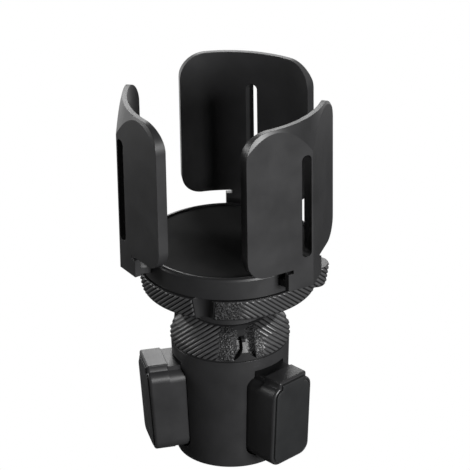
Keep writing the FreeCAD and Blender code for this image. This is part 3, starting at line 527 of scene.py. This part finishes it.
def ring_stack(shape, degrees, rings, dome_mm):
    """Rings of (inset, depth) joined by faces, closed at both ends."""
    out, side, loops = azimuth(degrees), azimuth(degrees + 90), []

    def placed(across, z, depth):
        radial = depth + CAP["lean"] * (z - CAP["middle"])
        point = out * radial + side * across
        return shape.verts.new((point.x * MM, point.y * MM, z * MM))

    for inset, depth in rings:
        loops.append([placed(p.x, p.y, depth) for p in cap_outline(inset)])
    inset, depth = rings[-1]
    centre = Vector((0, DOME_CENTRE_MM))
    for share, rise in DOME_STEPS:
        outline = [centre + (p - centre) * share for p in cap_outline(inset)]
        loops.append([placed(p.x, p.y, depth + dome_mm * rise) for p in outline])
    count = len(loops[0])
    for low, high in zip(loops, loops[1:]):
        for k in range(count):
            shape.faces.new((low[k], low[(k + 1) % count], high[(k + 1) % count], high[k]))
    shape.faces.new(loops[-1])
    shape.faces.new(list(reversed(loops[0])))


def finished_piece(name, shape, material):
    """Turn a bmesh into a named object whose sharp edges stay sharp."""
    mesh = bpy.data.meshes.new(name)
    shape.to_mesh(mesh)
    shape.free()
    mesh.polygons.foreach_set("use_smooth", [True] * len(mesh.polygons))
    mesh.set_sharp_from_angle(angle=math.radians(SHARP_DEGREES))
    thing = bpy.data.objects.new(name, mesh)
    bpy.context.scene.collection.objects.link(thing)
    mesh.materials.append(material)
    even = thing.modifiers.new("even", "WEIGHTED_NORMAL")
    even.keep_sharp = True
    return settle(thing)


def foot_piece(number, degrees):
    """The frame's foot cut off behind its cap, with the new cap in its place."""
    shape = bmesh.new()
    shape.from_mesh(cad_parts[f"foot_{number}"].data)
    out = azimuth(degrees)
    normal = (out - Vector((0, 0, CAP["lean"]))).normalized()
    start = out * (CAP["back"] - OVERLAP_MM) * MM + Vector((0, 0, CAP["middle"] * MM))
    bmesh.ops.bisect_plane(shape, geom=shape.verts[:] + shape.edges[:] + shape.faces[:], dist=1e-7,
                           plane_co=start, plane_no=normal, clear_outer=True)
    for vert in shape.verts:
        if abs(vert.co.z - CREST_MM * MM) < 1e-5:
            vert.co.z = LOWERED_CREST_MM * MM
    ring_stack(shape, degrees, CAP_RINGS, 0.0)
    foot = finished_piece(f"foot_{number}_moulding", shape, foot_abs)
    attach(foot, f"foot_slide_{number}")
    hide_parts(f"foot_{number}")


def pad_piece(number, degrees):
    """A softly crowned rubber pad."""
    shape = bmesh.new()
    ring_stack(shape, degrees, PAD_RINGS, PAD_DOME_MM)
    pad = finished_piece(f"foot_{number}_rubber", shape, pad_rubber)
    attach(pad, f"foot_slide_{number}")
    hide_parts(f"foot_pad_{number}")


for number, degrees in FOOT_AZIMUTHS.items():
    foot_piece(number, degrees)
    pad_piece(number, degrees)
print("capped", len(FOOT_AZIMUTHS), "feet")

# %% [markdown]
# The floor and the wall behind it are one white sweep, as in a studio. The camera sees
# it as plain white. Its far part also shows in reflections, which draws a pale line
# along edges and tops that are seen at a grazing angle. Lengths are in metres.

# %% White sweep
FLOOR_START, BEND_START, BEND_RADIUS, WALL_TOP = -2.5, 1.2, 0.6, 2.5
BEND_STEPS = 16
HALF_WIDTH = 3
FLOOR_DROP = 0.0005
MIRROR_DIRECTION = Vector((-0.5, 1, 0))
MIRROR_START, MIRROR_FULL = 0.28, 0.5


def white_sweep():
    """A floor that curves up behind the part."""
    mesh = bpy.data.meshes.new("sweep")
    shape = bmesh.new()
    rows = []
    for k in range(BEND_STEPS + 1):
        turn = math.pi / 2 * k / BEND_STEPS
        rows.append((BEND_START + BEND_RADIUS * math.sin(turn), BEND_RADIUS * (1 - math.cos(turn))))
    rows = [(FLOOR_START, 0.0)] + rows + [(BEND_START + BEND_RADIUS, WALL_TOP)]
    ends = [[shape.verts.new((x, y, z - FLOOR_DROP)) for y, z in rows]
            for x in (-HALF_WIDTH, HALF_WIDTH)]
    for k in range(len(rows) - 1):
        shape.faces.new((ends[0][k], ends[1][k], ends[1][k + 1], ends[0][k + 1]))
    for face in shape.faces:
        face.smooth = True
    shape.to_mesh(mesh)
    shape.free()
    sweep = bpy.data.objects.new("studio_sweep", mesh)
    bpy.context.scene.collection.objects.link(sweep)
    material, tree, shader, out = blank_material("White paper sweep")
    shader.inputs["Base Color"].default_value = linear("#474747")
    shader.inputs["Roughness"].default_value = 0.9
    rays = node(tree, "ShaderNodeLightPath").outputs
    glow = node(tree, "ShaderNodeEmission", Strength=1.0)
    glow.inputs["Color"].default_value = (1, 1, 1, 1)
    place = node(tree, "ShaderNodeTexCoord").outputs["Object"]
    behind = ramp(tree, dot(tree, place, MIRROR_DIRECTION), MIRROR_START, MIRROR_FULL)
    mirrored = sum_of(tree, "MULTIPLY", rays["Is Glossy Ray"], behind)
    white = sum_of(tree, "MAXIMUM", rays["Is Camera Ray"], mirrored)
    mix = node(tree, "ShaderNodeMixShader", n0=white, n1=shader.outputs["BSDF"],
               n2=glow.outputs["Emission"])
    tree.links.new(mix.outputs["Shader"], out.inputs["Surface"])
    sweep.data.materials.append(material)


white_sweep()

# %% [markdown]
# A key lamp stands at the front right and a narrow one at the left, which give the
# black plastic its broad grey highlights. A weak lamp behind and above lights the top
# edges, and a very dim dome fills the shade.

# %% Light
world = bpy.data.worlds.new("Studio")
bpy.context.scene.world = world
world.use_nodes = True
sky = world.node_tree
sky.nodes.clear()
dome = node(sky, "ShaderNodeBackground", Strength=0.02)
dome.inputs["Color"].default_value = (1, 1, 1, 1)
node(sky, "ShaderNodeOutputWorld", Surface=dome.outputs["Background"])
LAMP_TARGET = Vector((0, 0, 0.12))


def lamp(name, place, power, width, height):
    """A rectangular area lamp that faces the middle of the part."""
    data = bpy.data.lights.new(name, "AREA")
    data.shape = "RECTANGLE"
    data.size, data.size_y = width, height
    data.energy = power
    thing = bpy.data.objects.new(name, data)
    thing.location = place
    thing.rotation_euler = (LAMP_TARGET - Vector(place)).to_track_quat("-Z", "Y").to_euler()
    bpy.context.scene.collection.objects.link(thing)


lamp("key_right", (1.02, -0.76, 0.34), 17.0, 0.45, 0.5)
lamp("side_left", (-1.27, 0.02, 0.42), 7.0, 0.3, 0.6)
lamp("back_top", (-0.40, 1.00, 0.85), 4.0, 0.6, 0.4)

# %% [markdown]
# The camera looks down on the part from the front, a little to its right, through a
# long lens.

# %% Camera
CAMERA_AZIMUTH = 13.57
CAMERA_ELEVATION = 26.38
CAMERA_DISTANCE = 1.5634
LENS_MM = 229.4
CAMERA_ROLL = -0.9
AIM = Vector((0.0, 0.0, 0.12296))
AIM_SIDE = 0.003445


def unit(turn, elevation):
    """Direction from the aim to a camera at an azimuth and elevation in degrees."""
    a, e = math.radians(turn), math.radians(elevation)
    return Vector((math.sin(a) * math.cos(e), -math.cos(a) * math.cos(e), math.sin(e)))


camera_data = bpy.data.cameras.new("camera")
camera_data.lens = LENS_MM
camera_data.sensor_width = 36
camera = bpy.data.objects.new("camera", camera_data)
bpy.context.scene.collection.objects.link(camera)
aim = AIM + azimuth(CAMERA_AZIMUTH + 90) * AIM_SIDE
camera.location = aim + unit(CAMERA_AZIMUTH, CAMERA_ELEVATION) * CAMERA_DISTANCE
camera.rotation_euler = (aim - camera.location).to_track_quat("-Z", "Y").to_euler()
camera.rotation_euler.rotate_axis("Z", math.radians(CAMERA_ROLL))
bpy.context.scene.camera = camera
bpy.context.scene.view_settings.view_transform = "Standard"
